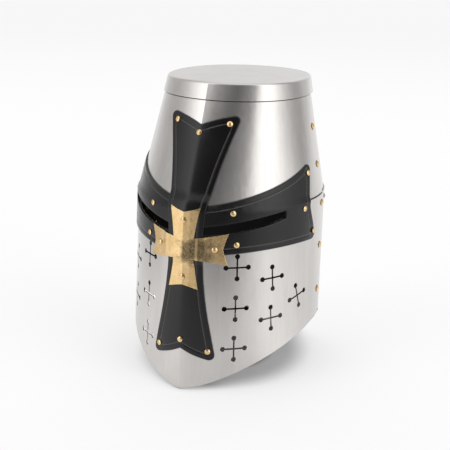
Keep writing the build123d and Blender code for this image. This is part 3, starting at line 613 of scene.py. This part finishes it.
leather_black = leather("black_leather", dark=(0.001, 0.0009, 0.0009),
                        light=(0.003, 0.0028, 0.0027), shine=0.45,
                        lip_highlight_colour=(0.062, 0.057, 0.054))
upright_laying = Laying([
    (0.0, on_plate), (arm_root_low - step_run, on_plate), (arm_root_low, over_arm),
    (ring_height, over_arm), (ring_height + step_rise, over_arm),
    (ring_height + step_rise + step_run, on_upper), (crown_height, on_upper)])
arm_laying = Laying([
    (below_arms, on_plate), (ring_height, on_plate), (ring_height + lap_gap, on_plate),
    (ring_height + lap_gap + arm_step_run, on_upper), (above_arms, on_upper)])
for node, laying in (("leather_upright", upright_laying), ("leather_arm_left", arm_laying),
                     ("leather_arm_right", arm_laying)):
    piece = cut_piece(node, laying, leather_thickness, rubbed_edge, spacing=0.0016,
                      filling=0.0035, line=tooled_line)
    piece.data.materials.append(leather_black)
    # Shades the face flat right up to its rubbed edge
    piece.modifiers.new("flat_faces", "WEIGHTED_NORMAL").keep_sharp = True


# Liner: a band of brown leather riveted inside the upper plates, eight lobes sewn to it
# that close over the head, and an oval patch riveted over their tips.

liner_thickness = 0.0018
liner_edge = [(0, 0.0005), (0.0003, 0.0002), (0.0007, 0.00006), (0.0011, 0.0)]
band_low, band_high = (v.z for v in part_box("liner_band"))
band_inset, band_margin, lobe_inset = 0.00435, 0.002, 0.0063
lobe_overlap, dome_rise, dome_reach = 0.023, 0.04, 0.074
dome_last_angle, dome_steps = math.radians(78), 6
dome_middle = Vector((0, shift + 0.006, band_low))
patch_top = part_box("liner_patch")[1].z


class Flat(Laying):
    """A level piece: along is its width, up its depth."""

    def __init__(self, height):
        self.height = height

    def lay(self, flat, sink):
        return np.stack([flat[:, 0], flat[:, 1], self.height - sink], axis=1)

    def flatten(self, places):
        return np.array(places)[:, :2]


def dome_laying():
    """The lobes' dome above the band, as a quarter of an oval."""
    levels = [(band_high - lobe_overlap, lobe_inset)]
    for step in range(dome_steps + 1):
        bend = dome_last_angle * step / dome_steps
        levels.append((band_high + dome_rise * math.sin(bend),
                       lobe_inset + dome_reach * (1 - math.cos(bend))))
    return Laying(levels)


def from_middle(place):
    return (place - dome_middle).normalized()


def upward(place):
    return Vector((0, 0, 1))


def liner_piece(node, laying, spacing, facing):
    piece = cut_piece(node, laying, liner_thickness, liner_edge, spacing, 2 * spacing,
                      facing=facing)
    piece.data.materials.append(leather_brown)


leather_brown = leather("brown_leather", dark=(0.035, 0.018, 0.01), light=(0.07, 0.038, 0.02),
                        shine=0.3)
band_laying = Laying([(band_low - band_margin, band_inset),
                      (band_high + band_margin, band_inset)])
liner_piece("liner_band", band_laying, 0.004, outward)
lobe_laying = dome_laying()
for side in ("right", "left"):
    for index in range(1, 5):
        liner_piece(f"liner_lobe_{side}_{index}", lobe_laying, 0.003, from_middle)
liner_piece("liner_patch", Flat(patch_top), 0.003, upward)


# Chin strap: two halves of thick brown leather, buckled under the chin, with a sewn
# keeper. Their edges are rubbed round.

strap_rounding = 0.0004


def rubbed_strap(node):
    """A strap piece with its long edges rounded, in place of its node."""
    mesh = cad[node].data.copy()
    mesh.name = "sewn_" + node
    shell = bmesh.new()
    shell.from_mesh(mesh)
    bmesh.ops.remove_doubles(shell, verts=shell.verts, dist=1e-6)
    bmesh.ops.dissolve_limit(shell, angle_limit=math.radians(1), verts=shell.verts,
                             edges=shell.edges)
    shell.to_mesh(mesh)
    shell.free()
    mesh.materials.clear()
    mesh.materials.append(leather_brown)
    piece = bpy.data.objects.new("sewn_" + node, mesh)
    bpy.context.scene.collection.objects.link(piece)
    round_off = piece.modifiers.new("rubbed_edge", "BEVEL")
    round_off.width, round_off.segments, round_off.limit_method = strap_rounding, 2, "ANGLE"
    round_off.angle_limit = math.radians(40)
    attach(piece, "chin_strap")
    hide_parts(node)


for node in ("strap_left", "strap_right", "strap_keeper"):
    rubbed_strap(node)


# Camera: it stands 1.14 m away on the side of the right cheek, as the helm is seen, and
# looks a little down at the middle of the face.

turn, tilt, roll = math.radians(23.32009), math.radians(15.84766), math.radians(1.65048)
aim = Vector((0, shift, 0.1575))
camera_distance, camera_aside, camera_down = 1.1433477, 0.0071277, 0.0042425
back = Vector((math.sin(turn) * math.cos(tilt), -math.cos(turn) * math.cos(tilt), math.sin(tilt)))
right = Vector((math.cos(turn), math.sin(turn), 0))
up = back.cross(right)
across = math.cos(roll) * right + math.sin(roll) * up
upright_way = -math.sin(roll) * right + math.cos(roll) * up
eye = aim + back * camera_distance - across * camera_aside - upright_way * camera_down
camera = bpy.data.objects.new("camera", bpy.data.cameras.new("camera"))
camera.data.sensor_width = 36.0
camera.data.lens = 78.276
camera.matrix_world = Matrix((
    (across.x, upright_way.x, back.x, eye.x), (across.y, upright_way.y, back.y, eye.y),
    (across.z, upright_way.z, back.z, eye.z), (0, 0, 0, 1)))
bpy.context.scene.collection.objects.link(camera)
bpy.context.scene.camera = camera


# Floor: a wide sheet of white paper under the helm. It glows a little, so that it renders
# white without more light on the helm, and its glow is cut away as a painted shadow below and
# round the plates.
# Metal sees it as the studio is there: dark in front, with bright screens on each side.

floor_half, floor_drop = 12.0, 0.0002
paper_lit, paper_glow = 0.42, 0.6
foot_middle = (0, shift + (backs[0] - fronts[0]) / 2, 0)
deep_middle, deep_low, deep_high = (-0.02, 0.06, 0), 0.05, 0.085
# What metal sees near the helm and far from it, by degrees right of the camera
near_shades = [(-180, 1.05), (-150, 1.05), (-126, 0.95), (-100, 0.98), (-75, 1.0), (-50, 1.05),
               (-30, 0.95), (-10, 0.85), (12, 0.82), (26, 0.85), (38, 1.08), (48, 1.22),
               (58, 1.18), (68, 1.08), (82, 1.0), (120, 0.95), (145, 1.05), (180, 1.05)]
far_shades = [(-180, 0.95), (-150, 1.0), (-126, 0.65), (-104, 0.5), (-90, 0.8), (-76, 1.25),
              (-56, 1.3), (-46, 1.15), (-36, 0.85), (-26, 0.7), (-14, 0.36), (0, 0.2),
              (16, 0.22), (26, 0.4), (36, 0.75), (46, 1.1), (58, 1.17), (70, 1.05), (90, 0.93),
              (120, 0.95), (150, 1.1), (180, 0.95)]
most_floor_shade = 1.3


def by_bearing(place, values, most):
    """Brightness, as a share of most, from pairs of degrees right of the camera and a value."""
    share = place.axis("X").math("ARCTAN2", place.axis("Y") * -1.0) * (1 / math.tau)
    share = (share + (0.5 - turn / math.tau)).math("FRACT")
    stops = [((degrees + 180) / 360, value / most) for degrees, value in values]
    return share.node("ShaderNodeValToRGB", {"stops": stops}, {"Fac": share})


def floor_paper():
    material, shader, place = new_finish("floor_paper", Roughness=0.9, Specular_IOR_Level=0.1,
                                         Emission_Strength=paper_glow)
    out_from_helm = place.length()
    shades = out_from_helm.between(0.2, 0.95).blend(
        by_bearing(place, near_shades, most_floor_shade),
        by_bearing(place, far_shades, most_floor_shade))
    # Painted falloff of the light: far from the helm the paper is a little grey
    white = out_from_helm.between(0.8, 5.0).blend((1, 1, 1), (0.93, 0.93, 0.93))
    mirrored_ray = place.node("ShaderNodeLightPath", out="Is Glossy Ray")
    paper = mirrored_ray.blend(white, shades.tinted(most_floor_shade))
    # Painted shadow on the glow: 1 round the foot, less under the helm and where the plates stand
    # close over the paper. Deep inside, as the breaths show it, it is dark
    from_foot = (place - foot_middle).stretched(
        1 / half_widths[0], 2 / (fronts[0] + backs[0]), 0).length()
    shadow = from_foot.between(0.42, 0.56) * 0.42 + from_foot.between(0.66, 0.98) * 0.58
    covered = 1 - place.open_share(0.08, 16).between(0.4, 0.84)
    covered = covered * (1 - from_foot.between(0.8, 1.0))
    deep = place.vector_math("DISTANCE", deep_middle, "Value").between(deep_low, deep_high)
    lit = shadow * (1 - covered) * (1 - painted_corner_shade(place, 0.014) * 0.5) * deep
    apply_finish(shader, Base_Color=paper.tinted(paper_lit),
                 Emission_Color=lit.blend((0, 0, 0), paper))
    return material


floor_mesh = bpy.data.meshes.new("floor")
floor_mesh.from_pydata([(-floor_half, -floor_half, 0), (floor_half, -floor_half, 0),
                        (floor_half, floor_half, 0), (-floor_half, floor_half, 0)],
                       [], [(0, 1, 2, 3)])
floor_mesh.materials.append(floor_paper())
floor = bpy.data.objects.new("floor", floor_mesh)
floor.location.z = -floor_drop
bpy.context.scene.collection.objects.link(floor)


# Studio: soft light from all round, dark behind the camera, with a bright screen on each
# side of it and a grey ceiling. The camera itself sees a plain pale backdrop.

studio_shades = [(-180, 0.85), (-167, 1.0), (-156, 0.95), (-145, 0.8), (-134, 0.74),
                 (-113, 0.58), (-93, 0.62), (-84, 0.9), (-75, 1.3), (-66, 1.8), (-53, 2.0),
                 (-46, 1.4), (-39, 0.4), (-20, 0.24), (-4, 0.12), (6, 0.2), (18, 0.32),
                 (30, 0.4), (38, 1.5), (50, 1.9), (64, 1.8), (77, 1.25), (88, 0.95),
                 (99, 0.65), (110, 0.42), (119, 0.42), (127, 0.65), (140, 0.75), (152, 0.95),
                 (165, 1.05), (180, 0.85)]
most_studio_shade = 2.0
ceiling, backdrop = (0.5, 0.5, 0.5), (0.9, 0.9, 0.9, 1)

world = bpy.data.worlds.new("studio")
bpy.context.scene.world = world
world.use_nodes = True
world.node_tree.nodes.clear()
way = Tone(world.node_tree, None).node("ShaderNodeTexCoord", out="Generated")
walls = by_bearing(way, studio_shades, most_studio_shade)
sky = way.axis("Z").between(0.7, 0.97).blend(walls, ceiling)
studio = way.node("ShaderNodeBackground", None, {"Color": sky, "Strength": most_studio_shade})
plain = way.node("ShaderNodeBackground", None, {"Color": backdrop, "Strength": 1.0})
seen = way.node("ShaderNodeLightPath", out="Is Camera Ray")
shown = way.node("ShaderNodeMixShader", None, {0: seen, 1: studio, 2: plain})
way.node("ShaderNodeOutputWorld", None, {0: shown})

bpy.context.scene.view_settings.view_transform = "Standard"
